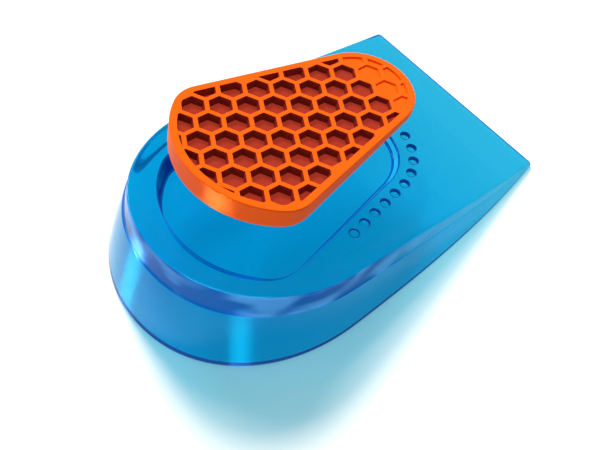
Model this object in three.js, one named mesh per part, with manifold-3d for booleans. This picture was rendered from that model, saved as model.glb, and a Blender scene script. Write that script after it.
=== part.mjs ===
// Heel cup: a gel wedge with a raised rim, a recess in its top and a honeycomb insert that lifts out of it.
// Millimetres, +Z up, resting on Z = 0, toe towards +Y, heel towards -Y, symmetric about X = 0.
import * as THREE from 'three';
import { mergeVertices } from 'three/addons/utils/BufferGeometryUtils.js';
import Module from 'manifold-3d';

const wasm = await Module();
wasm.setup();

// Cup, seen from above
const CUP_LENGTH = 98.5;
const BASE_WIDTH = 65;
const BASE_HEEL_ROUND = 37; // from the heel's end to where the base reaches its full width
const FRONT_WIDTH = 55.3;
const FRONT_CORNER_RADIUS = 0.9;
const TOP_WIDTH = 57.8;
const TOP_HEEL_ROUND = 32.5; // the same for the top outline, measured along the sloping top
const HEEL_LEAN = 7.7; // how far the top's heel end stands in from the base's
const HEEL_POWER = 2.1; // 2 is an ellipse, more is squarer
const SIDE_POWER = 2.6; // how late the sides turn in towards the front edge

// Cup, seen from the side
const HEEL_HEIGHT = 21.1; // of the flat top at its heel end, without the rim
const FRONT_THICKNESS = 1.3;
const BASE_EASE = 0.4; // small round at the bottom edge
const RIM_RISE = 1; // of the rim above the flat top, at the heel
const RIM_ROUND = 0.8; // radius of the rim's outer edge
const RIM_SLOPE = 5.2; // how far the rim takes to run down into the flat top
// The run down, as shares of that distance and of the rise
const RIM_PROFILE = [
  { along: 0, rise: 1 },
  { along: 0.35, rise: 0.65 },
  { along: 0.7, rise: 0.15 },
  { along: 1, rise: 0 },
];
const RIM_FADE_START = 0.5; // shares of the top's length between which the rim runs out
const RIM_FADE_END = 0.95;
const BAND_SHARE = 0.26; // of the wall's height that the band under the rim takes
const LEDGE_SHARE = 0.1; // of the band's height that the ledge at its foot takes
const BAND_STEP = 0.4; // depth of that ledge
const WALL_BULGE = 0.2; // outwards, at half height

// Insert
const INSERT_LENGTH = 58.6;
const INSERT_HEEL_RADIUS = 22.3;
const INSERT_CORNER_RADIUS = 7.5;
const INSERT_TIP_RADIUS = 12;
const INSERT_HALF_TAPER = 12.4; // degrees between each straight side and the centre line
const INSERT_HEEL_THICKNESS = 5.5;
const INSERT_TIP_THICKNESS = 1.2;
const INSERT_LIFT = 19.8; // from its seat to where it is shown

// Honeycomb
const CELL_PITCH = 5.8;
const CELL_FLATS = 4.65; // across the flats of a pit
const CELL_START = 6.35; // from the insert's heel end to the first whole row
const CELL_BORDER = 1.75; // plain rim left round the honeycomb
const PIT_DEPTH = 1.9;
const PIT_FLOOR = 0.6; // least thickness under a pit
const TIP_PIT_START = 49; // pits past here are shallow
const TIP_PIT_DEPTH = 0.45;

// Recess in the cup's top
const SEAT_SETBACK = 8.3; // from the top's heel end to the insert's
const SEAT_CLEARANCE = 0.3; // all round the insert's foot, and under it
const SEAT_DRAFT = 1.3; // how much further out the recess is at the flat top

// Dimples round the front of the recess
const DIMPLE_DIAMETER = 2.3;
const DIMPLE_DEPTH = 1.2;
const DIMPLE_OFFSET = 3.9; // from the insert's outline to the dimple's centre, beside it
const DIMPLE_LEAD = 1.2; // how much further out they are in front of its tip
const DIMPLE_SPACING = 4.15;
const DIMPLES_PER_SIDE = 10;
const DIMPLE_FADE = 0.6; // share of its depth that the last dimple of each side loses

// Facets
const HEEL_STEPS = 14;
const SIDE_STEPS = 10;
const CORNER_STEPS = 3;
const ARC_STEPS = 12;
const DIMPLE_SIDES = 12;
const CUT_OVERLAP = 1; // how far a cutter reaches past the face that it cuts
const WELD_DISTANCE = 1e-4; // points closer than this are one

// The flat top is a plane that slopes down from the heel to the front edge. Seat coordinates lie in it:
// x across, y along it towards the toe from the insert's heel end, z square to it.
const topRun = CUP_LENGTH - HEEL_LEAN;
const tilt = Math.atan((HEEL_HEIGHT - FRONT_THICKNESS) / topRun);
const topLength = topRun / Math.cos(tilt);
const seatFrame = new THREE.Group();
seatFrame.position.set(
  0,
  -CUP_LENGTH / 2 + HEEL_LEAN + SEAT_SETBACK * Math.cos(tilt),
  HEEL_HEIGHT - SEAT_SETBACK * Math.sin(tilt),
);
seatFrame.rotation.x = -tilt;
seatFrame.updateMatrix();

function toSolid(geometry) {
  const bare = geometry.clone();
  bare.deleteAttribute('normal');
  bare.deleteAttribute('uv');
  const merged = mergeVertices(bare, WELD_DISTANCE);
  return new wasm.Manifold(
    new wasm.Mesh({
      numProp: 3,
      vertProperties: new Float32Array(merged.attributes.position.array),
      triVerts: new Uint32Array(merged.index.array),
    }),
  );
}

function toGeometry(solid) {
  const mesh = solid.getMesh();
  const geometry = new THREE.BufferGeometry();
  geometry.setAttribute('position', new THREE.BufferAttribute(new Float32Array(mesh.vertProperties), 3));
  geometry.setIndex(new THREE.BufferAttribute(new Uint32Array(mesh.triVerts), 1));
  geometry.computeVertexNormals();
  return geometry;
}

// Closed skin through rings of equally many points, counter-clockwise from above, lowest ring first.
// Each end is closed by a fan about its middle.
function loft(rings) {
  const count = rings[0].length;
  const points = rings.flat();
  const faces = [];
  for (let r = 0; r + 1 < rings.length; r++) {
    for (let i = 0; i < count; i++) {
      const a = r * count + i;
      const b = r * count + ((i + 1) % count);
      faces.push(a, b, b + count, a, b + count, a + count);
    }
  }
  const addCap = (ring, first, facesUp) => {
    const middle = ring.reduce((sum, p) => sum.add(p), new THREE.Vector3()).divideScalar(count);
    const centre = points.push(middle) - 1;
    for (let i = 0; i < count; i++) {
      const a = first + i;
      const b = first + ((i + 1) % count);
      faces.push(...(facesUp ? [centre, a, b] : [centre, b, a]));
    }
  };
  addCap(rings[0], 0, false);
  addCap(rings.at(-1), (rings.length - 1) * count, true);
  const geometry = new THREE.BufferGeometry().setFromPoints(points);
  geometry.setIndex(faces);
  return geometry;
}

// Outline of the cup: a round heel, sides that run to the front edge, and two small front corners.
// It starts at the heel's end and runs counter-clockwise from above, so up the right side first.
function cupOutline({ heel, front, round, width, frontWidth }, inset) {
  const start = heel + inset;
  const end = front - inset;
  const widest = heel + round;
  const half = width / 2 - inset;
  const frontHalf = frontWidth / 2 - inset;
  const corner = FRONT_CORNER_RADIUS;
  const right = [];
  for (let i = 1; i <= HEEL_STEPS; i++) {
    const angle = (i / HEEL_STEPS) * (Math.PI / 2);
    const across = half * Math.sin(angle) ** (2 / HEEL_POWER);
    const back = (widest - start) * Math.max(Math.cos(angle), 0) ** (2 / HEEL_POWER);
    right.push(new THREE.Vector2(across, i < HEEL_STEPS ? widest - back : widest));
  }
  for (let i = 1; i <= SIDE_STEPS; i++) {
    const along = i / SIDE_STEPS;
    const across = half - (half - frontHalf) * along ** SIDE_POWER;
    right.push(new THREE.Vector2(across, widest + (end - corner - widest) * along));
  }
  for (let i = 1; i <= CORNER_STEPS; i++) {
    const angle = (i / CORNER_STEPS) * (Math.PI / 2);
    right.push(new THREE.Vector2(
      frontHalf - corner * (1 - Math.cos(angle)),
      end - corner * (1 - Math.sin(angle)),
    ));
  }
  const left = right.map((p) => new THREE.Vector2(-p.x, p.y)).reverse();
  return [new THREE.Vector2(0, start), ...right, ...left];
}

const baseShape = {
  heel: -CUP_LENGTH / 2,
  front: CUP_LENGTH / 2,
  round: BASE_HEEL_ROUND,
  width: BASE_WIDTH,
  frontWidth: FRONT_WIDTH,
};
const topShape = {
  heel: -SEAT_SETBACK,
  front: topLength - SEAT_SETBACK,
  round: TOP_HEEL_ROUND,
  width: TOP_WIDTH,
  frontWidth: FRONT_WIDTH,
};

// The rim is full round the heel and runs out towards the front edge.
function rimRise(y) {
  const share = (y + SEAT_SETBACK) / topLength;
  return RIM_RISE * (1 - THREE.MathUtils.smoothstep(share, RIM_FADE_START, RIM_FADE_END));
}

// Ring on the top, inset from its outline, at a share of the rim's rise and a drop below that.
function topRing(inset, riseShare, drop) {
  return cupOutline(topShape, inset).map((p) =>
    new THREE.Vector3(p.x, p.y, rimRise(p.y) * riseShare)
      .applyMatrix4(seatFrame.matrix)
      .add(new THREE.Vector3(0, 0, -drop)));
}

function baseRing(inset, height) {
  return cupOutline(baseShape, inset).map((p) => new THREE.Vector3(p.x, p.y, height));
}

// Ring on the side wall, at a share of the way from the bottom edge to the rim's outer edge. An inset is
// full where the wall is as high as at the heel's end, and less where it is lower.
function wallRing(share, inset) {
  const low = baseRing(0, BASE_EASE);
  const high = topRing(0, 1, RIM_ROUND);
  const fullHeight = high[0].z - low[0].z;
  return low.map((p, i) => {
    const height = (high[i].z - p.z) / fullHeight;
    const point = p.clone().lerp(high[i], share);
    const middle = new THREE.Vector3(0, Math.max(point.y, baseShape.heel + baseShape.round), point.z);
    const inwards = middle.sub(point).setZ(0).normalize();
    return point.addScaledVector(inwards, inset * height);
  });
}

function cupBody() {
  const bandFoot = 1 - BAND_SHARE;
  const halfRound = RIM_ROUND * (1 - Math.SQRT1_2); // where the rim's edge has turned by 45 degrees
  return toSolid(loft([
    baseRing(BASE_EASE, 0),
    baseRing(0, BASE_EASE),
    wallRing(bandFoot / 2, -WALL_BULGE),
    wallRing(bandFoot, 0),
    wallRing(bandFoot + BAND_SHARE * LEDGE_SHARE, BAND_STEP),
    topRing(0, 1, RIM_ROUND),
    topRing(halfRound, 1, halfRound),
    ...RIM_PROFILE.map(({ along, rise }) => topRing(RIM_ROUND + RIM_SLOPE * along, rise, 0)),
  ]));
}

// Outline of the insert, grown outwards by an offset: heel arc, two corners, straight sides and round tip.
function insertShape(offset) {
  const taper = THREE.MathUtils.degToRad(INSERT_HALF_TAPER);
  const tipY = INSERT_LENGTH - INSERT_TIP_RADIUS;
  const normal = new THREE.Vector2(Math.cos(taper), Math.sin(taper));
  // Corner centre: on a line inside the straight side, and inside the heel arc by the corner's radius.
  const reach = normal.y * tipY + INSERT_TIP_RADIUS - INSERT_CORNER_RADIUS;
  const foot = normal.clone().multiplyScalar(reach - normal.y * INSERT_HEEL_RADIUS);
  const arm = INSERT_HEEL_RADIUS - INSERT_CORNER_RADIUS;
  const slide = Math.sqrt(arm ** 2 - foot.lengthSq());
  const cornerX = foot.x + normal.y * slide;
  const cornerY = INSERT_HEEL_RADIUS + foot.y - normal.x * slide;
  const heelAngle = Math.atan2(cornerY - INSERT_HEEL_RADIUS, cornerX);
  const heelY = INSERT_HEEL_RADIUS;
  const heel = INSERT_HEEL_RADIUS + offset;
  const corner = INSERT_CORNER_RADIUS + offset;
  const shape = new THREE.Shape();
  shape.absarc(0, heelY, heel, -Math.PI / 2, heelAngle, false);
  shape.absarc(cornerX, cornerY, corner, heelAngle, taper, false);
  shape.absarc(0, tipY, INSERT_TIP_RADIUS + offset, taper, Math.PI - taper, false);
  shape.absarc(-cornerX, cornerY, corner, Math.PI - taper, Math.PI - heelAngle, false);
  shape.absarc(0, heelY, heel, Math.PI - heelAngle, 1.5 * Math.PI, false);
  return shape;
}

function insertRing(offset, heightAt) {
  const points = insertShape(offset).getPoints(ARC_STEPS);
  const open = points.filter((p, i) => i === 0 || p.distanceTo(points[i - 1]) > WELD_DISTANCE);
  if (open[0].distanceTo(open.at(-1)) < WELD_DISTANCE) open.pop();
  return open.map((p) => new THREE.Vector3(p.x, p.y, heightAt(p.y)));
}

function insertThickness(y) {
  return THREE.MathUtils.lerp(INSERT_HEEL_THICKNESS, INSERT_TIP_THICKNESS, y / INSERT_LENGTH);
}

function pitDepth(y) {
  if (y > TIP_PIT_START) return TIP_PIT_DEPTH;
  return Math.min(PIT_DEPTH, insertThickness(y + CELL_PITCH / 2) - PIT_FLOOR);
}

function hexagonPit(x, y) {
  const depth = pitDepth(y);
  const corner = CELL_FLATS / Math.sqrt(3);
  const prism = new THREE.CylinderGeometry(corner, corner, depth + CUT_OVERLAP, 6, 1);
  prism.rotateX(Math.PI / 2); // the cylinder's first corner now points along the insert
  prism.translate(x, y, (CUT_OVERLAP - depth) / 2);
  return toSolid(prism);
}

// Pits in rows across the insert, each row shifted half a cell, and cut off at the plain border.
function honeycomb() {
  const rowStep = CELL_PITCH * Math.sqrt(3) / 2;
  const field = toSolid(loft([
    insertRing(-CELL_BORDER, () => -INSERT_HEEL_THICKNESS),
    insertRing(-CELL_BORDER, () => 2 * CUT_OVERLAP),
  ]));
  const pits = [];
  const halfCount = Math.ceil(INSERT_HEEL_RADIUS / CELL_PITCH);
  for (let row = -1; CELL_START + row * rowStep < INSERT_LENGTH; row++) {
    const shift = Math.abs(row % 2) / 2;
    for (let k = -halfCount; k <= halfCount; k++) {
      pits.push(hexagonPit((k + shift) * CELL_PITCH, CELL_START + row * rowStep));
    }
  }
  return wasm.Manifold.union(pits).intersect(field);
}

function insertBody() {
  const body = toSolid(loft([
    insertRing(0, (y) => -insertThickness(y)),
    insertRing(0, () => 0),
  ]));
  return body.subtract(honeycomb());
}

// The recess follows the insert's foot with the clearance, and its walls lean out towards the flat top.
function recess() {
  const floorAt = (y) => -insertThickness(y) - SEAT_CLEARANCE;
  const leanAbove = SEAT_DRAFT * (CUT_OVERLAP / INSERT_HEEL_THICKNESS);
  return toSolid(loft([
    insertRing(SEAT_CLEARANCE, floorAt),
    insertRing(SEAT_CLEARANCE + SEAT_DRAFT, () => 0),
    insertRing(SEAT_CLEARANCE + SEAT_DRAFT + leanAbove, () => CUT_OVERLAP),
  ]));
}

// Dimples stand one spacing apart along a line round the recess, from the tip back along each side.
function dimplePlace(distance) {
  const taper = THREE.MathUtils.degToRad(INSERT_HALF_TAPER);
  const radius = INSERT_TIP_RADIUS + DIMPLE_OFFSET;
  const middleY = INSERT_LENGTH - INSERT_TIP_RADIUS + DIMPLE_LEAD;
  const turn = Math.min(distance / radius, Math.PI / 2 - taper);
  const straight = distance - turn * radius;
  return new THREE.Vector2(
    radius * Math.sin(turn) + straight * Math.cos(turn),
    middleY + radius * Math.cos(turn) - straight * Math.sin(turn),
  );
}

function dimples() {
  const cutters = [];
  for (let k = -DIMPLES_PER_SIDE; k <= DIMPLES_PER_SIDE; k++) {
    const place = dimplePlace(Math.abs(k) * DIMPLE_SPACING);
    const depth = DIMPLE_DEPTH * (1 - DIMPLE_FADE * Math.abs(k / DIMPLES_PER_SIDE) ** 4);
    const radius = DIMPLE_DIAMETER / 2;
    const cutter = new THREE.CylinderGeometry(radius, radius, depth + CUT_OVERLAP, DIMPLE_SIDES, 1);
    cutter.rotateX(Math.PI / 2);
    cutter.translate(Math.sign(k) * place.x, place.y, (CUT_OVERLAP - depth) / 2);
    cutters.push(toSolid(cutter));
  }
  return wasm.Manifold.union(cutters);
}

function inSeat(solid) {
  return toSolid(toGeometry(solid).applyMatrix4(seatFrame.matrix));
}

const gelMaterial = new THREE.MeshStandardMaterial({
  color: 0x1186c8,
  roughness: 0.18,
  metalness: 0,
  transparent: true,
  opacity: 0.85,
});
const insertMaterial = new THREE.MeshStandardMaterial({ color: 0xf06d28, roughness: 0.45, metalness: 0 });

const cup = new THREE.Mesh(
  toGeometry(cupBody().subtract(inSeat(recess())).subtract(inSeat(dimples()))),
  gelMaterial,
);
cup.name = 'gel_cup';

const insert = new THREE.Mesh(toGeometry(insertBody()), insertMaterial);
insert.name = 'honeycomb_insert';
insert.position.z = INSERT_LIFT;
seatFrame.add(insert);

const heelCup = new THREE.Group();
heelCup.add(cup, seatFrame);

export default heelCup;
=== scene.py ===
import math

import bmesh
import bpy
from mathutils import Euler, Matrix, Vector


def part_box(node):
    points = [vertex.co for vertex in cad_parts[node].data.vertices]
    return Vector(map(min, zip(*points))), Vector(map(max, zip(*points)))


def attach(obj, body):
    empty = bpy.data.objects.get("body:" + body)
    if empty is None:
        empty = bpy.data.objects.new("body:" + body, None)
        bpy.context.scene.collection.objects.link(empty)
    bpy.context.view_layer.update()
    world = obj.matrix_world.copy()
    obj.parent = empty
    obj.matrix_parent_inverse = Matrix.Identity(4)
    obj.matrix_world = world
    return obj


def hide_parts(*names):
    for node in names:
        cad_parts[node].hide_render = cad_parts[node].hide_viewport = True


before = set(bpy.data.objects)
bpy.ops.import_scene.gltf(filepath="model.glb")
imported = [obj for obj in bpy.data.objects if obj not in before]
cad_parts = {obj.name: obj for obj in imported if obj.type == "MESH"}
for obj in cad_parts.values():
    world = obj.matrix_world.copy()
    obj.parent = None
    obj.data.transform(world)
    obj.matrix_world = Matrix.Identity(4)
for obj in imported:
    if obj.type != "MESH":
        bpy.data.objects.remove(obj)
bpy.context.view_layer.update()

MM = 0.001
cup_low, cup_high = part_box("gel_cup")

# Sizes in metres, as in the part's source, unless the frame gives them
CUP_LENGTH = cup_high.y - cup_low.y
BASE_WIDTH = cup_high.x - cup_low.x
BASE_HEEL_ROUND = 37 * MM
FRONT_WIDTH = 55.3 * MM
FRONT_CORNER_RADIUS = 0.9 * MM
TOP_WIDTH = 57.8 * MM
TOP_HEEL_ROUND = 32.5 * MM
HEEL_LEAN = 7.7 * MM
HEEL_POWER = 2.1
SIDE_POWER = 2.6
HEEL_HEIGHT = 21.1 * MM
FRONT_THICKNESS = 1.3 * MM
BASE_EASE = 0.4 * MM
RIM_RISE = 1.0 * MM
RIM_ROUND = 0.8 * MM
RIM_SLOPE = 5.2 * MM
RIM_FADE_START = 0.5
RIM_FADE_END = 0.95
BAND_SHARE = 0.26
BAND_STEP = 0.4 * MM
LEDGE_SHARE = 0.1
WALL_BULGE = 0.2 * MM
EDGE_LINE_SHARE = 0.075

INSERT_LENGTH = 58.6 * MM
INSERT_HEEL_RADIUS = 22.3 * MM
INSERT_CORNER_RADIUS = 7.5 * MM
INSERT_TIP_RADIUS = 12 * MM
INSERT_HALF_TAPER = math.radians(12.4)
INSERT_HEEL_THICKNESS = 5.5 * MM
INSERT_TIP_THICKNESS = 1.2 * MM
INSERT_LIFT = 19.8 * MM
INSERT_EDGE = 0.35 * MM

CELL_PITCH = 5.8 * MM
CELL_FLATS = 4.65 * MM
CELL_START = 6.35 * MM
CELL_BORDER = 1.75 * MM
CELL_LIP = 0.16 * MM
CELL_DRAFT = 0.12 * MM
PIT_DEPTH = 1.9 * MM
PIT_FLOOR = 0.6 * MM
TIP_PIT_START = 49 * MM
TIP_PIT_DEPTH = 0.45 * MM
LEAST_PIT = 0.25 * MM
SHORTEST_SIDE = 0.05 * MM

SEAT_SETBACK = 8.3 * MM
SEAT_CLEARANCE = 0.3 * MM
SEAT_DRAFT = 1.3 * MM
SEAT_LIP = 0.5 * MM
DIMPLE_DIAMETER = 2.3 * MM
DIMPLE_DEPTH = 1.2 * MM
DIMPLE_OFFSET = 3.9 * MM
DIMPLE_LEAD = 1.2 * MM
DIMPLE_SPACING = 4.15 * MM
DIMPLES_PER_SIDE = 10
DIMPLE_FADE = 0.6
DIMPLE_FADE_POWER = 4
DIMPLE_FOOT_SHARE = 0.5
DIMPLE_LIP = 0.25 * MM

HEEL_STEPS = 44
SIDE_STEPS = 40
CORNER_STEPS = 6
ARC_STEPS = 40
ROUND_STEPS = 5
WALL_STEPS = 12
LEDGE_STEPS = 4
BAND_STEPS = 6
SLOPE_STEPS = 10
CELL_LIP_STEPS = 3
DIMPLE_SIDES = 40
CUP_SHARP = math.radians(50)
INSERT_SHARP = math.radians(40)
NORMAL_WEIGHT = 80

# How far the cutters reach past the flat top: their lips, and then all of them
RECESS_TOP = 0.2 * MM
DIMPLE_TOP = 0.1 * MM
CELL_TOP = 0.075 * MM
ABOVE = 0.6 * MM
TRIM = 0.001 * MM  # keeps the front edge inside the solid's box

# Tags of faces, from which the materials' masks of painted shade and painted light are made
PLAIN, EDGE, BAND, RECESS, LINE, DIMPLE, PIT = range(7)
TAG_COUNT = PIT + 1

# Where masks fade along Y towards the toe: start, end, and what is left of them there
BAND_FADE = (-10 * MM, 25 * MM, 0.25)
RECESS_FADE = (-15 * MM, 10 * MM, 0.2)
CUP_MASKS = {
    EDGE: ("edge", None),
    BAND: ("band", BAND_FADE),
    RECESS: ("recess", RECESS_FADE),
    LINE: ("line", None),
    DIMPLE: ("dimple", None),
}
INSERT_MASKS = {PIT: ("pit", None)}

# The gel: its surface, and what it takes out of light that crosses it
# The gel's own colour, and a paler one towards the toe: painted light, as where thin gel lets more light
# through
GEL_THICK_COLOUR = (0.0, 0.56, 0.90)
GEL_TOE_PAINTED_LIGHT = (0.05, 0.66, 0.90)
GEL_TOE_LIGHT_START = -5 * MM
GEL_TOE_LIGHT_END = 50 * MM
# Under the rim: a darker band of painted shade, with pale streaks of painted light
BAND_PAINTED_SHADE = (0.002, 0.06, 0.26)
BAND_PAINTED_LIGHT = (0.05, 0.2, 0.46)
BAND_STREAK = 12 * MM
BAND_STRETCH = (1, 1, 3)
BAND_STREAK_FROM = 0.42
BAND_STREAK_TO = 0.66
# Painted shade: the recess's walls darker
RECESS_PAINTED_SHADE = (0.0, 0.03, 0.34)
# Painted shade: dark lines along the recess's rounded foot and lip
LINE_PAINTED_SHADE = (0.0, 0.05, 0.26)
# Painted shade: darker dimples
DIMPLE_PAINTED_SHADE = (0.002, 0.03, 0.18)
# Painted shade: a darker line along the bottom edge
EDGE_PAINTED_SHADE = (0.01, 0.04, 0.2)
GEL_CLEARNESS = 0.95
MASKED_CLEARNESS = {"band": 0.3, "recess": 0.0, "line": 0.3, "dimple": 0.3, "edge": 0.2}
GEL_IOR = 1.38
GEL_SPECULAR = 0.2
GEL_SPECULAR_TINT = (0.1, 0.7, 1)
GEL_GRAIN = 9 * MM
GEL_GRAIN_HEIGHT = 0.12 * MM
GEL_ROUGHNESS = (0.06, 0.11)
GEL_SHADOW_TINT = (0.45, 0.65, 0.70)
GEL_ABSORPTION_COLOUR = (0.0, 0.86, 0.96)
GEL_ABSORPTION = 80

# The insert's elastomer
ORANGE = (0.79, 0.084, 0.003)
# Painted shade in the deep pits: darker walls and floors
PIT_PAINTED_SHADE = (0.26, 0.024, 0.012)
ORANGE_SPECULAR = 0.15
ORANGE_SPECULAR_TINT = (1, 0.6, 0.3)
ORANGE_GRAIN = 0.35 * MM
ORANGE_GRAIN_HEIGHT = 0.012 * MM
ORANGE_ROUGHNESS = (0.44, 0.54)

GRAIN_DETAIL = 3
GRAIN_FROM = 0.3
GRAIN_TO = 0.7

# The Mix node's sockets by number, because it has several of the same name
COLOUR_A, COLOUR_B, COLOUR_OUT = 6, 7, 2
NUMBER_A, NUMBER_B, NUMBER_OUT = 2, 3, 0

# Studio: a higher and a lower sun, and area lights as place, target, size, power in watts and colour
FLOOR_HALF = 3.0
FLOOR_COLOUR = (0.76, 0.76, 0.76)
FLOOR_ROUGHNESS = 0.6
SKY_COLOUR = (0.61, 0.87, 0.95)
SKY_STRENGTH = 0.4
WHITE = (1, 1, 1)
DAY_WHITE = (1, 0.97, 0.94)
WARM_WHITE = (1, 0.85, 0.6)
COOL_WHITE = (0.7, 1, 0.95)
SUN_ANGLE = math.radians(16)
KEY_PLACE = (-0.31, 0.2, 0.38)
KEY_STRENGTH = 2.1
SOFT_KEY_PLACE = (-0.38, 0.2, 0.31)
SOFT_KEY_STRENGTH = 5.6
FILL = ((0.25, -0.5, 0.3), (0, 0, 0.01), (0.5, 0.25), 2, DAY_WHITE)
TOP_LIGHT = ((0.1, -0.1, 0.6), (0, 0, 0.01), (0.5, 0.5), 6, WHITE)
LEFT_STRIP = ((-0.5, -0.1, 0.25), (0, 0, 0.02), (0.08, 0.4), 1, WHITE)
WARM = ((-0.05, -0.5, 0.12), (0, 0, 0.03), (0.06, 0.3), 0.9, WARM_WHITE)

# Narrow beams, for the upright highlights on the cup's wall and the insert's side
BEAM_SPREAD = math.radians(3)
LEFT_STREAK = ((-0.004, -0.165, 0.022), (-0.004, -0.0455, 0.0095), (0.0035, 0.018), 0.0034, WHITE)
NEAR_STREAK = ((0.108, -0.121, 0.009), (0.0228, -0.0366, 0.0072), (0.002, 0.014), 0.0016, WHITE)
INSERT_STREAK = ((-0.0053, -0.1464, 0.0137), (0.0072, -0.029, 0.0345), (0.003, 0.02), 0.0008, COOL_WHITE)

# Camera: where it stands, what it looks along, and its lens for a frame of 600 x 450
CAMERA_PLACE = Vector((96.55, -82.55, 192.89)) * MM
CAMERA_RIGHT = Vector((0.63969, 0.76862, 0.00353))
CAMERA_FORWARD = Vector((-0.40430, 0.34037, -0.84894))
PICTURE_WIDTH = 600
FOCAL_PIXELS = 968.67
SENSOR_WIDTH = 36.0
CLIP_START = 0.01
CLIP_END = 10

# The flat top's own frame: x across, y along it towards the toe from the insert's heel end, z square
# to it
TOP_RUN = CUP_LENGTH - HEEL_LEAN
TILT = math.atan((HEEL_HEIGHT - FRONT_THICKNESS) / TOP_RUN)
TOP_LENGTH = TOP_RUN / math.cos(TILT)
SEAT_PLACE = Vector((
    0,
    cup_low.y + HEEL_LEAN + SEAT_SETBACK * math.cos(TILT),
    HEEL_HEIGHT - SEAT_SETBACK * math.sin(TILT),
))
SEAT = Matrix.Translation(SEAT_PLACE) @ Euler((-TILT, 0, 0)).to_matrix().to_4x4()


def smoothstep(value, start, end):
    t = min(max((value - start) / (end - start), 0), 1)
    return t * t * (3 - 2 * t)


def lerp(a, b, t):
    return a + (b - a) * t


# Mesh helpers
def loft(rings, tags=None):
    """A closed skin through rings of equally many points, counter-clockwise from above, lowest first.

    The faces above ring i keep tags[i] as their material index until the masks are made from it.
    """
    mesh = bmesh.new()
    rows = [[mesh.verts.new(p) for p in ring] for ring in rings]
    for row, (low, high) in enumerate(zip(rows, rows[1:])):
        for i in range(len(low)):
            j = (i + 1) % len(low)
            face = mesh.faces.new((low[i], low[j], high[j], high[i]))
            face.material_index = tags[row] if tags else PLAIN
    mesh.faces.new(list(reversed(rows[0])))
    mesh.faces.new(rows[-1])
    return mesh


def to_object(mesh, name):
    data = bpy.data.meshes.new(name)
    for _ in range(TAG_COUNT):
        data.materials.append(None)
    mesh.to_mesh(data)
    mesh.free()
    thing = bpy.data.objects.new(name, data)
    bpy.context.scene.collection.objects.link(thing)
    return thing


def join_meshes(meshes):
    """One bmesh that holds all of them."""
    whole = bmesh.new()
    for mesh in meshes:
        part = bpy.data.meshes.new("part")
        for _ in range(TAG_COUNT):
            part.materials.append(None)
        mesh.to_mesh(part)
        mesh.free()
        whole.from_mesh(part)
        bpy.data.meshes.remove(part)
    return whole


def cut(body, cutter):
    """Cuts cutter out of body and deletes it."""
    modifier = body.modifiers.new("cut", "BOOLEAN")
    modifier.operation = "DIFFERENCE"
    modifier.solver = "EXACT"
    modifier.material_mode = "INDEX"
    modifier.object = cutter
    apply_modifiers(body)
    bpy.data.objects.remove(cutter)


def apply_modifiers(thing):
    graph = bpy.context.evaluated_depsgraph_get()
    made = bpy.data.meshes.new_from_object(thing.evaluated_get(graph))
    old = thing.data
    thing.modifiers.clear()
    thing.data = made
    bpy.data.meshes.remove(old)


def smooth_shading(thing, sharp_angle):
    """Smooth shading with edges sharper than the angle kept, and large flat faces left flat."""
    thing.data.shade_smooth()
    thing.data.set_sharp_from_angle(angle=sharp_angle)
    modifier = thing.modifiers.new("weighted_normals", "WEIGHTED_NORMAL")
    modifier.keep_sharp = True
    modifier.weight = NORMAL_WEIGHT
    apply_modifiers(thing)


# Cup
def cup_outline(heel, front, heel_round, width, front_width, inset):
    """Outline from above: a round heel, sides that run to the front edge and two small front corners."""
    start = heel + inset
    end = front - inset
    widest = heel + heel_round
    half = width / 2 - inset
    front_half = front_width / 2 - inset
    corner = FRONT_CORNER_RADIUS
    right = []
    for i in range(1, HEEL_STEPS + 1):
        angle = i / HEEL_STEPS * math.pi / 2
        across = half * math.sin(angle) ** (2 / HEEL_POWER)
        back = (widest - start) * max(math.cos(angle), 0) ** (2 / HEEL_POWER)
        right.append((across, widest - back if i < HEEL_STEPS else widest))
    for i in range(1, SIDE_STEPS + 1):
        along = i / SIDE_STEPS
        across = half - (half - front_half) * along ** SIDE_POWER
        right.append((across, widest + (end - corner - widest) * along))
    for i in range(1, CORNER_STEPS + 1):
        angle = i / CORNER_STEPS * math.pi / 2
        right.append((
            front_half - corner * (1 - math.cos(angle)),
            end - corner * (1 - math.sin(angle)),
        ))
    left = [(-x, y) for x, y in reversed(right)]
    return [(0, start), *right, *left]


def base_ring(inset, height):
    outline = cup_outline(
        cup_low.y, cup_high.y - TRIM, BASE_HEEL_ROUND, BASE_WIDTH, FRONT_WIDTH, inset
    )
    return [Vector((x, y, height)) for x, y in outline]


def rim_rise(y):
    share = (y + SEAT_SETBACK) / TOP_LENGTH
    return RIM_RISE * (1 - smoothstep(share, RIM_FADE_START, RIM_FADE_END))


def top_ring(inset, rise_share, drop):
    outline = cup_outline(
        -SEAT_SETBACK, TOP_LENGTH - SEAT_SETBACK - TRIM, TOP_HEEL_ROUND, TOP_WIDTH, FRONT_WIDTH, inset
    )
    fall = Vector((0, 0, drop))
    return [SEAT @ Vector((x, y, rim_rise(y) * rise_share)) - fall for x, y in outline]


def wall_ring(share, inset):
    """Ring at a share of the way from the bottom edge to the rim's outer edge.

    Insets fade with the wall's height.
    """
    low = base_ring(0, BASE_EASE)
    high = top_ring(0, 1, RIM_ROUND)
    full = high[0].z - low[0].z
    ring = []
    for p, q in zip(low, high):
        point = p.lerp(q, share)
        middle = Vector((0, max(point.y, cup_low.y + BASE_HEEL_ROUND), point.z))
        inwards = (middle - point).normalized()
        ring.append(point + inwards * inset * (q.z - p.z) / full)
    return ring


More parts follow.
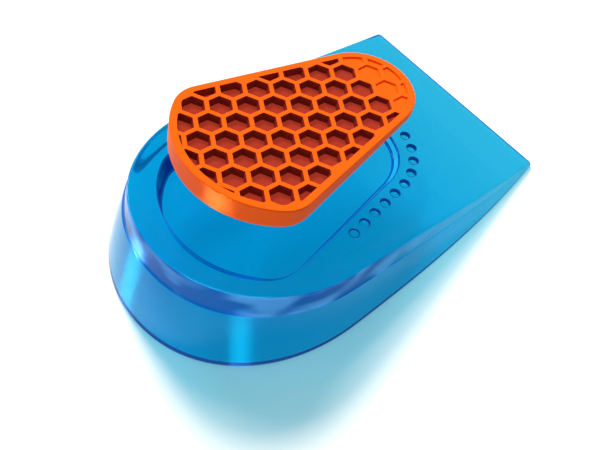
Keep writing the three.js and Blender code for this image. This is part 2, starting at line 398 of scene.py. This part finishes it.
def cup_rings():
    """The cup's rings from the base to the flat top, and the tag of the faces above each."""
    rings = []
    tags = []

    def add(ring, tag):
        rings.append(ring)
        tags.append(tag)

    # The base's round and the foot of the wall take the painted dark bottom edge
    for i in range(ROUND_STEPS):
        angle = i / ROUND_STEPS * math.pi / 2
        add(base_ring(BASE_EASE * (1 - math.sin(angle)), BASE_EASE * (1 - math.cos(angle))), EDGE)
    band_foot = 1 - BAND_SHARE
    add(wall_ring(0, 0), EDGE)
    for i in range(WALL_STEPS + 1):
        t = lerp(EDGE_LINE_SHARE, 1, i / WALL_STEPS)
        add(wall_ring(band_foot * t, -WALL_BULGE * math.sin(math.pi * t)), PLAIN)
    # The ledge, the band and the lower half of the rim's round take the band's painted light and shade
    ledge = BAND_SHARE * LEDGE_SHARE
    for i in range(1, LEDGE_STEPS + 1):
        t = i / LEDGE_STEPS
        add(wall_ring(band_foot + ledge * t, BAND_STEP * smoothstep(t, 0, 1)), BAND)
    for i in range(1, BAND_STEPS):
        t = i / BAND_STEPS
        add(wall_ring(lerp(band_foot + ledge, 1, t), BAND_STEP * (1 - t)), BAND)
    for i in range(ROUND_STEPS + 1):
        angle = i / ROUND_STEPS * math.pi / 2
        tag = BAND if i < ROUND_STEPS / 2 else PLAIN
        add(top_ring(RIM_ROUND * (1 - math.cos(angle)), 1, RIM_ROUND * (1 - math.sin(angle))), tag)
    for i in range(1, SLOPE_STEPS + 1):
        t = i / SLOPE_STEPS
        add(top_ring(RIM_ROUND + RIM_SLOPE * t, 1 - smoothstep(t, 0, 1), 0), PLAIN)
    return rings, tags


# Insert outline and what follows it
def arc(centre_x, centre_y, radius, start, end, steps):
    for i in range(steps):
        angle = lerp(start, end, i / steps)
        yield (centre_x + radius * math.cos(angle), centre_y + radius * math.sin(angle))


def insert_outline(offset):
    """Heel arc, two corners, straight sides and round tip, grown outwards by the offset."""
    normal = (math.cos(INSERT_HALF_TAPER), math.sin(INSERT_HALF_TAPER))
    tip_y = INSERT_LENGTH - INSERT_TIP_RADIUS
    reach = normal[1] * tip_y + INSERT_TIP_RADIUS - INSERT_CORNER_RADIUS
    from_heel = reach - normal[1] * INSERT_HEEL_RADIUS
    arm = INSERT_HEEL_RADIUS - INSERT_CORNER_RADIUS
    slide = math.sqrt(arm ** 2 - from_heel ** 2)
    corner_x = normal[0] * from_heel + normal[1] * slide
    corner_y = INSERT_HEEL_RADIUS + normal[1] * from_heel - normal[0] * slide
    heel_angle = math.atan2(corner_y - INSERT_HEEL_RADIUS, corner_x)
    side_angle = INSERT_HALF_TAPER
    half_turn = math.pi
    corner = INSERT_CORNER_RADIUS + offset
    heel = INSERT_HEEL_RADIUS + offset
    tip = INSERT_TIP_RADIUS + offset
    return [
        *arc(0, INSERT_HEEL_RADIUS, heel, -half_turn / 2, heel_angle, ARC_STEPS),
        *arc(corner_x, corner_y, corner, heel_angle, side_angle, ARC_STEPS),
        *arc(0, tip_y, tip, side_angle, half_turn - side_angle, 2 * ARC_STEPS),
        *arc(-corner_x, corner_y, corner, half_turn - side_angle, half_turn - heel_angle, ARC_STEPS),
        *arc(0, INSERT_HEEL_RADIUS, heel, half_turn - heel_angle, 1.5 * half_turn, ARC_STEPS),
    ]


def insert_ring(offset, height_at):
    return [Vector((x, y, height_at(y))) for x, y in insert_outline(offset)]


def insert_thickness(y):
    return lerp(INSERT_HEEL_THICKNESS, INSERT_TIP_THICKNESS, y / INSERT_LENGTH)


def recess_cutter():
    """The recess, with a rounded foot and a rounded lip at the flat top."""
    def floor_at(y):
        return -insert_thickness(y) - SEAT_CLEARANCE

    rings = []
    for i in range(ROUND_STEPS + 1):
        angle = i / ROUND_STEPS * math.pi / 2
        grow = SEAT_CLEARANCE - SEAT_LIP * (1 - math.sin(angle))
        rise = SEAT_LIP * (1 - math.cos(angle))
        rings.append(insert_ring(grow, lambda y: floor_at(y) + rise))
    # The recess's wall takes its painted shade, its rounded foot and lip the painted dark lines
    tags = [LINE] * ROUND_STEPS + [RECESS] + [LINE] * (ROUND_STEPS + 2)
    for i in range(ROUND_STEPS + 1):
        angle = i / (ROUND_STEPS + 1) * math.pi / 2
        grow = SEAT_CLEARANCE + SEAT_DRAFT - SEAT_LIP * math.cos(angle)
        drop = SEAT_LIP * (1 - math.sin(angle))
        rings.append(insert_ring(grow, lambda y: -drop))
    rings.append(insert_ring(SEAT_CLEARANCE + SEAT_DRAFT, lambda y: RECESS_TOP))
    rings.append(insert_ring(SEAT_CLEARANCE + SEAT_DRAFT, lambda y: ABOVE))
    return loft(rings, tags)


def dimple_place(distance):
    radius = INSERT_TIP_RADIUS + DIMPLE_OFFSET
    middle_y = INSERT_LENGTH - INSERT_TIP_RADIUS + DIMPLE_LEAD
    turn = min(distance / radius, math.pi / 2 - INSERT_HALF_TAPER)
    straight = distance - turn * radius
    return (
        radius * math.sin(turn) + straight * math.cos(turn),
        middle_y + radius * math.cos(turn) - straight * math.sin(turn),
    )


def dimple_cutter(x, y, depth):
    """A round blind hole with a rounded bottom and lip."""
    radius = DIMPLE_DIAMETER / 2
    foot = radius * DIMPLE_FOOT_SHARE
    profile = []
    for i in range(ROUND_STEPS + 1):
        angle = i / ROUND_STEPS * math.pi / 2
        profile.append((radius - foot * (1 - math.sin(angle)), -depth + foot * (1 - math.cos(angle))))
    for i in range(ROUND_STEPS):
        angle = i / ROUND_STEPS * math.pi / 2
        out = DIMPLE_LIP * (1 - math.cos(angle))
        profile.append((radius + out, -DIMPLE_LIP * (1 - math.sin(angle))))
    profile.append((radius + DIMPLE_LIP, DIMPLE_TOP))
    profile.append((radius + DIMPLE_LIP, ABOVE))
    rings = []
    for r, z in profile:
        circle = arc(0, 0, r, 0, 2 * math.pi, DIMPLE_SIDES)
        rings.append([Vector((x + px, y + py, z)) for px, py in circle])
    # Each dimple's sides and lip take its painted shade; the lowest part of its bottom stays plain
    return loft(rings, [PLAIN] * (ROUND_STEPS - 2) + [DIMPLE] * len(rings))


def dimple_cutters():
    cutters = []
    for k in range(-DIMPLES_PER_SIDE, DIMPLES_PER_SIDE + 1):
        x, y = dimple_place(abs(k) * DIMPLE_SPACING)
        depth = DIMPLE_DEPTH * (1 - DIMPLE_FADE * abs(k / DIMPLES_PER_SIDE) ** DIMPLE_FADE_POWER)
        cutters.append(dimple_cutter(x if k > 0 else -x, y, depth))
    return cutters


def make_cup():
    cup = to_object(loft(*cup_rings()), "gel_cup_skin")
    cutters = join_meshes([recess_cutter(), *dimple_cutters()])
    cutters.transform(SEAT)
    cut(cup, to_object(cutters, "cutters"))
    smooth_shading(cup, CUP_SHARP)
    return cup


# Honeycomb
def pit_depth(y):
    if y > TIP_PIT_START:
        return TIP_PIT_DEPTH
    return min(PIT_DEPTH, insert_thickness(y + CELL_PITCH / 2) - PIT_FLOOR)


def clip(polygon, outline):
    """The convex polygon cut to a convex counter-clockwise outline."""
    for (ax, ay), (bx, by) in zip(outline, outline[1:] + outline[:1]):
        def side(p):
            return (bx - ax) * (p[1] - ay) - (by - ay) * (p[0] - ax)

        kept = []
        for p, q in zip(polygon, polygon[1:] + polygon[:1]):
            sp, sq = side(p), side(q)
            if sp >= 0:
                kept.append(p)
            if (sp >= 0) != (sq >= 0):
                t = sp / (sp - sq)
                kept.append((lerp(p[0], q[0], t), lerp(p[1], q[1], t)))
        polygon = kept
        if len(polygon) < 3:
            return []
    return polygon


def hexagon(x, y, flats):
    corner = flats / math.sqrt(3)
    return [(x + px, y + py) for px, py in arc(0, 0, corner, math.pi / 2, 2.5 * math.pi, 6)]


def grown(polygon, amount):
    """The convex polygon with each side moved outwards by the amount."""
    count = len(polygon)
    lines = []
    for (ax, ay), (bx, by) in zip(polygon, polygon[1:] + polygon[:1]):
        length = math.hypot(bx - ax, by - ay)
        nx, ny = (by - ay) / length, (ax - bx) / length
        lines.append((nx, ny, nx * ax + ny * ay + amount))
    points = []
    for i in range(count):
        (a, b, c), (d, e, f) = lines[i - 1], lines[i]
        det = a * e - b * d
        points.append(((c * e - b * f) / det, (a * f - c * d) / det))
    return points


def without_short_sides(polygon, least):
    kept = []
    for p in polygon:
        if not kept or math.hypot(p[0] - kept[-1][0], p[1] - kept[-1][1]) > least:
            kept.append(p)
    if len(kept) > 1 and math.hypot(kept[0][0] - kept[-1][0], kept[0][1] - kept[-1][1]) <= least:
        kept.pop()
    return kept


def pit_cutter(polygon, depth):
    """A pit with a rounded lip and slightly drafted walls."""
    rings = [[Vector((x, y, -depth)) for x, y in grown(polygon, -CELL_DRAFT)]]
    for i in range(CELL_LIP_STEPS + 1):
        angle = i / (CELL_LIP_STEPS + 1) * math.pi / 2
        out = CELL_LIP * (1 - math.cos(angle))
        drop = CELL_LIP * (1 - math.sin(angle))
        rings.append([Vector((x, y, -drop)) for x, y in grown(polygon, out)])
    for height in (CELL_TOP, ABOVE):
        rings.append([Vector((x, y, height)) for x, y in grown(polygon, CELL_LIP)])
    pit = loft(rings)
    # Deep pits take the painted shade, the shallow ones at the tip stay plain
    if depth > TIP_PIT_DEPTH:
        for face in pit.faces:
            face.material_index = PIT
    return pit


def pit_cutters():
    row_step = CELL_PITCH * math.sqrt(3) / 2
    border = insert_outline(-CELL_BORDER)
    half_count = math.ceil(INSERT_HEEL_RADIUS / CELL_PITCH)
    cutters = []
    row = -1
    while CELL_START + row * row_step < INSERT_LENGTH:
        y = CELL_START + row * row_step
        shift = abs(row % 2) / 2
        for k in range(-half_count, half_count + 1):
            x = (k + shift) * CELL_PITCH
            polygon = without_short_sides(clip(hexagon(x, y, CELL_FLATS), border), SHORTEST_SIDE)
            if len(polygon) < 3:
                continue
            width = min(
                max(p[0] for p in polygon) - min(p[0] for p in polygon),
                max(p[1] for p in polygon) - min(p[1] for p in polygon),
            )
            if width > LEAST_PIT:
                cutters.append(pit_cutter(polygon, pit_depth(y)))
        row += 1
    return cutters


def insert_rings():
    rings = []
    for i in range(ROUND_STEPS + 1):
        angle = i / ROUND_STEPS * math.pi / 2
        grow = -INSERT_EDGE * (1 - math.sin(angle))
        rise = INSERT_EDGE * (1 - math.cos(angle))
        rings.append(insert_ring(grow, lambda y: rise - insert_thickness(y)))
    for i in range(ROUND_STEPS + 1):
        angle = i / ROUND_STEPS * math.pi / 2
        grow = -INSERT_EDGE * (1 - math.cos(angle))
        drop = INSERT_EDGE * (1 - math.sin(angle))
        rings.append(insert_ring(grow, lambda y: -drop))
    return rings


def make_insert():
    insert = to_object(loft(insert_rings()), "honeycomb_insert_skin")
    cut(insert, to_object(join_meshes(pit_cutters()), "pits"))
    insert.data.transform(SEAT @ Matrix.Translation((0, 0, INSERT_LIFT)))
    smooth_shading(insert, INSERT_SHARP)
    return insert


# Masks that the materials read
def add_masks(thing, names):
    """Turns the tags of the faces into one mask each, and clears them.

    A mask is weaker towards the toe where its fade says so.
    """
    mesh = thing.data
    for tag, (name, fade) in names.items():
        mask = mesh.attributes.new(name, "FLOAT", "CORNER")
        for face in mesh.polygons:
            for index in face.loop_indices:
                value = 0.0
                if face.material_index == tag:
                    y = mesh.vertices[mesh.loops[index].vertex_index].co.y
                    value = 1.0
                    if fade:
                        start, end, least = fade
                        value = lerp(1, least, smoothstep(y, start, end))
                mask.data[index].value = value
    for face in mesh.polygons:
        face.material_index = 0
    mesh.materials.clear()


# Materials
def new_material(name):
    material = bpy.data.materials.new(name)
    material.use_nodes = True
    nodes = material.node_tree.nodes
    return material, nodes, material.node_tree.links, nodes["Principled BSDF"]


def let_light_through(nodes, links, shader, tint):
    """Shadow rays pass, tinted, so that the material lights what is under it."""
    output = nodes["Material Output"]
    path = nodes.new("ShaderNodeLightPath")
    clear = nodes.new("ShaderNodeBsdfTransparent")
    clear.inputs["Color"].default_value = (*tint, 1)
    mix = nodes.new("ShaderNodeMixShader")
    links.new(path.outputs["Is Shadow Ray"], mix.inputs["Fac"])
    links.new(shader.outputs["BSDF"], mix.inputs[1])
    links.new(clear.outputs["BSDF"], mix.inputs[2])
    links.new(mix.outputs["Shader"], output.inputs["Surface"])


def mixed_colour(nodes, links, share, under, over):
    """One colour laid over another by a share. Each is three numbers or a socket."""
    mix = nodes.new("ShaderNodeMix")
    mix.data_type = "RGBA"
    links.new(share, mix.inputs["Factor"])
    for colour, socket in ((under, mix.inputs[COLOUR_A]), (over, mix.inputs[COLOUR_B])):
        if isinstance(colour, tuple):
            socket.default_value = (*colour, 1)
        else:
            links.new(colour, socket)
    return mix.outputs[COLOUR_OUT]


def mask_share(nodes, mask):
    attribute = nodes.new("ShaderNodeAttribute")
    attribute.attribute_name = mask
    return attribute.outputs["Fac"]


def masked_colour(nodes, links, under, mask, colour):
    """The colour so far with another one laid over it where the mask says."""
    return mixed_colour(nodes, links, mask_share(nodes, mask), under, colour)


def masked_number(nodes, links, under, mask, number):
    """The number so far, plain or from a socket, with another one over it where the mask says."""
    mix = nodes.new("ShaderNodeMix")
    links.new(mask_share(nodes, mask), mix.inputs["Factor"])
    if isinstance(under, float):
        mix.inputs[NUMBER_A].default_value = under
    else:
        links.new(under, mix.inputs[NUMBER_A])
    mix.inputs[NUMBER_B].default_value = number
    return mix.outputs[NUMBER_OUT]


def object_place(nodes):
    return nodes.new("ShaderNodeTexCoord").outputs["Object"]


def noise_at(nodes, links, place, size, detail):
    noise = nodes.new("ShaderNodeTexNoise")
    noise.inputs["Scale"].default_value = 1 / size
    noise.inputs["Detail"].default_value = detail
    links.new(place, noise.inputs["Vector"])
    return noise.outputs["Fac"]


def mapped(nodes, links, value, start, end, low=0.0, high=1.0, smooth=False):
    """The value's range from start to end stretched to low and high."""
    spread = nodes.new("ShaderNodeMapRange")
    if smooth:
        spread.interpolation_type = "SMOOTHSTEP"
    spread.inputs["From Min"].default_value = start
    spread.inputs["From Max"].default_value = end
    spread.inputs["To Min"].default_value = low
    spread.inputs["To Max"].default_value = high
    links.new(value, spread.inputs["Value"])
    return spread.outputs["Result"]


def band_painted_light_and_shade(nodes, links):
    """Painted shade under the rim, with soft level streaks of painted light, as where light gathers in
    the gel.
    """
    stretch = nodes.new("ShaderNodeMapping")
    stretch.inputs["Scale"].default_value = BAND_STRETCH
    links.new(object_place(nodes), stretch.inputs["Vector"])
    noise = noise_at(nodes, links, stretch.outputs["Vector"], BAND_STREAK, 1)
    share = mapped(nodes, links, noise, BAND_STREAK_FROM, BAND_STREAK_TO, smooth=True)
    return mixed_colour(nodes, links, share, BAND_PAINTED_SHADE, BAND_PAINTED_LIGHT)


def add_grain(nodes, links, shader, size, height, roughness):
    """Fine unevenness of a moulded surface: a bump, and roughness between a low and a high value."""
    noise = noise_at(nodes, links, object_place(nodes), size, GRAIN_DETAIL)
    raised = nodes.new("ShaderNodeBump")
    raised.inputs["Distance"].default_value = height
    links.new(noise, raised.inputs["Height"])
    links.new(raised.outputs["Normal"], shader.inputs["Normal"])
    spread = mapped(nodes, links, noise, GRAIN_FROM, GRAIN_TO, *roughness)
    links.new(spread, shader.inputs["Roughness"])


def gel_material():
    material, nodes, links, shader = new_material("translucent_blue_gel")
    apart = nodes.new("ShaderNodeSeparateXYZ")
    links.new(object_place(nodes), apart.inputs["Vector"])
    # Paler towards the toe along Y: painted light
    toe_light_share = mapped(nodes, links, apart.outputs["Y"], GEL_TOE_LIGHT_START, GEL_TOE_LIGHT_END, smooth=True)
    colour = mixed_colour(nodes, links, toe_light_share, GEL_THICK_COLOUR, GEL_TOE_PAINTED_LIGHT)
    # Painted shade laid over it by the masks, with pale streaks of painted light in the band
    for mask, over in (
        ("band", band_painted_light_and_shade(nodes, links)),
        ("recess", RECESS_PAINTED_SHADE),
        ("line", LINE_PAINTED_SHADE),
        ("dimple", DIMPLE_PAINTED_SHADE),
        ("edge", EDGE_PAINTED_SHADE),
    ):
        colour = masked_colour(nodes, links, colour, mask, over)
    links.new(colour, shader.inputs["Base Color"])
    add_grain(nodes, links, shader, GEL_GRAIN, GEL_GRAIN_HEIGHT, GEL_ROUGHNESS)
    shader.inputs["IOR"].default_value = GEL_IOR
    shader.inputs["Specular IOR Level"].default_value = GEL_SPECULAR
    shader.inputs["Specular Tint"].default_value = (*GEL_SPECULAR_TINT, 1)
    clearness = GEL_CLEARNESS
    for mask, share in MASKED_CLEARNESS.items():
        clearness = masked_number(nodes, links, clearness, mask, share)
    links.new(clearness, shader.inputs["Transmission Weight"])
    let_light_through(nodes, links, shader, GEL_SHADOW_TINT)
    absorb = nodes.new("ShaderNodeVolumeAbsorption")
    absorb.inputs["Color"].default_value = (*GEL_ABSORPTION_COLOUR, 1)
    absorb.inputs["Density"].default_value = GEL_ABSORPTION
    links.new(absorb.outputs["Volume"], nodes["Material Output"].inputs["Volume"])
    return material


def insert_material():
    material, nodes, links, shader = new_material("orange_elastomer")
    # Painted shade in the deep pits
    colour = masked_colour(nodes, links, ORANGE, "pit", PIT_PAINTED_SHADE)
    links.new(colour, shader.inputs["Base Color"])
    add_grain(nodes, links, shader, ORANGE_GRAIN, ORANGE_GRAIN_HEIGHT, ORANGE_ROUGHNESS)
    shader.inputs["Specular IOR Level"].default_value = ORANGE_SPECULAR
    shader.inputs["Specular Tint"].default_value = (*ORANGE_SPECULAR_TINT, 1)
    return material


def floor_material():
    material, _, _, shader = new_material("pale_floor")
    shader.inputs["Base Color"].default_value = (*FLOOR_COLOUR, 1)
    shader.inputs["Roughness"].default_value = FLOOR_ROUGHNESS
    return material


def make_camera():
    data = bpy.data.cameras.new("camera")
    data.sensor_width = SENSOR_WIDTH
    data.lens = FOCAL_PIXELS / PICTURE_WIDTH * SENSOR_WIDTH
    data.clip_start = CLIP_START
    data.clip_end = CLIP_END
    camera = bpy.data.objects.new("camera", data)
    bpy.context.scene.collection.objects.link(camera)
    right = CAMERA_RIGHT.normalized()
    back = -CAMERA_FORWARD.normalized()
    up = back.cross(right).normalized()
    back = right.cross(up)
    turned = Matrix((right, up, back)).transposed().to_4x4()
    camera.matrix_world = Matrix.Translation(CAMERA_PLACE) @ turned
    bpy.context.scene.camera = camera


def make_light(name, kind, power, colour, place, target):
    """A lamp at the place that shines towards the target."""
    data = bpy.data.lights.new(name, kind)
    data.energy = power
    data.color = colour
    light = bpy.data.objects.new(name, data)
    bpy.context.scene.collection.objects.link(light)
    light.location = place
    light.rotation_euler = (Vector(target) - Vector(place)).to_track_quat("-Z", "Y").to_euler()
    return light


def area_light(name, place, target, size, power, colour):
    light = make_light(name, "AREA", power, colour, place, target)
    light.data.shape = "RECTANGLE"
    light.data.size, light.data.size_y = size
    return light


def sun(name, place, strength):
    """Parallel light from the place towards the origin."""
    light = make_light(name, "SUN", strength, DAY_WHITE, place, (0, 0, 0))
    light.data.angle = SUN_ANGLE
    return light


def make_floor():
    data = bpy.data.meshes.new("floor")
    half = FLOOR_HALF
    corners = [(-half, -half, 0), (half, -half, 0), (half, half, 0), (-half, half, 0)]
    data.from_pydata(corners, [], [(0, 1, 2, 3)])
    floor = bpy.data.objects.new("floor", data)
    bpy.context.scene.collection.objects.link(floor)
    floor.data.materials.append(floor_material())


def make_world():
    """A pale sky that lights the scene, and a white backdrop where the camera sees past the floor."""
    world = bpy.data.worlds.new("studio")
    world.use_nodes = True
    nodes, links = world.node_tree.nodes, world.node_tree.links
    sky = nodes["Background"]
    sky.inputs["Color"].default_value = (*SKY_COLOUR, 1)
    sky.inputs["Strength"].default_value = SKY_STRENGTH
    backdrop = nodes.new("ShaderNodeBackground")
    path = nodes.new("ShaderNodeLightPath")
    mix = nodes.new("ShaderNodeMixShader")
    links.new(path.outputs["Is Camera Ray"], mix.inputs["Fac"])
    links.new(sky.outputs["Background"], mix.inputs[1])
    links.new(backdrop.outputs["Background"], mix.inputs[2])
    links.new(mix.outputs["Shader"], nodes["World Output"].inputs["Surface"])
    bpy.context.scene.world = world


def light_only(lights, piece):
    """These lights reach this piece alone, so that they leave the floor's shadow as it is."""
    lit = bpy.data.collections.new("lit_" + piece.name)
    lit.objects.link(piece)
    for light in lights:
        light.light_linking.receiver_collection = lit


def shaded_only_by(light, piece):
    """Only this piece throws a shadow in this light."""
    blockers = bpy.data.collections.new("blockers")
    blockers.objects.link(piece)
    light.light_linking.blocker_collection = blockers


def make_lights(cup, insert):
    key = sun("key", KEY_PLACE, KEY_STRENGTH)
    soft_key = sun("soft_key", SOFT_KEY_PLACE, SOFT_KEY_STRENGTH)
    fill = area_light("fill", *FILL)
    top = area_light("top", *TOP_LIGHT)
    left = area_light("left_strip", *LEFT_STRIP)
    warm = area_light("warm", *WARM)
    left_streak = area_light("left_streak", *LEFT_STREAK)
    near_streak = area_light("near_streak", *NEAR_STREAK)
    insert_streak = area_light("insert_streak", *INSERT_STREAK)
    for light in (key, soft_key, fill):
        light.visible_glossy = False
        light.visible_transmission = False
    for light in (left_streak, near_streak, insert_streak):
        light.data.spread = BEAM_SPREAD
    light_only((fill, left, top, left_streak, near_streak), cup)
    light_only((warm, insert_streak), insert)
    shaded_only_by(soft_key, cup)


make_camera()
make_world()
make_floor()

gel = gel_material()
orange = insert_material()
for name, material in (("gel_cup", gel), ("honeycomb_insert", orange)):
    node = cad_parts[name]
    node.data.materials.clear()
    node.data.materials.append(material)

cup = make_cup()
add_masks(cup, CUP_MASKS)
cup.data.materials.append(gel)
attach(cup, "cup")
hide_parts("gel_cup")

insert = make_insert()
add_masks(insert, INSERT_MASKS)
insert.data.materials.append(orange)
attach(insert, "insert")
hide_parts("honeycomb_insert")

make_lights(cup, insert)
bpy.context.scene.view_settings.view_transform = "Standard"
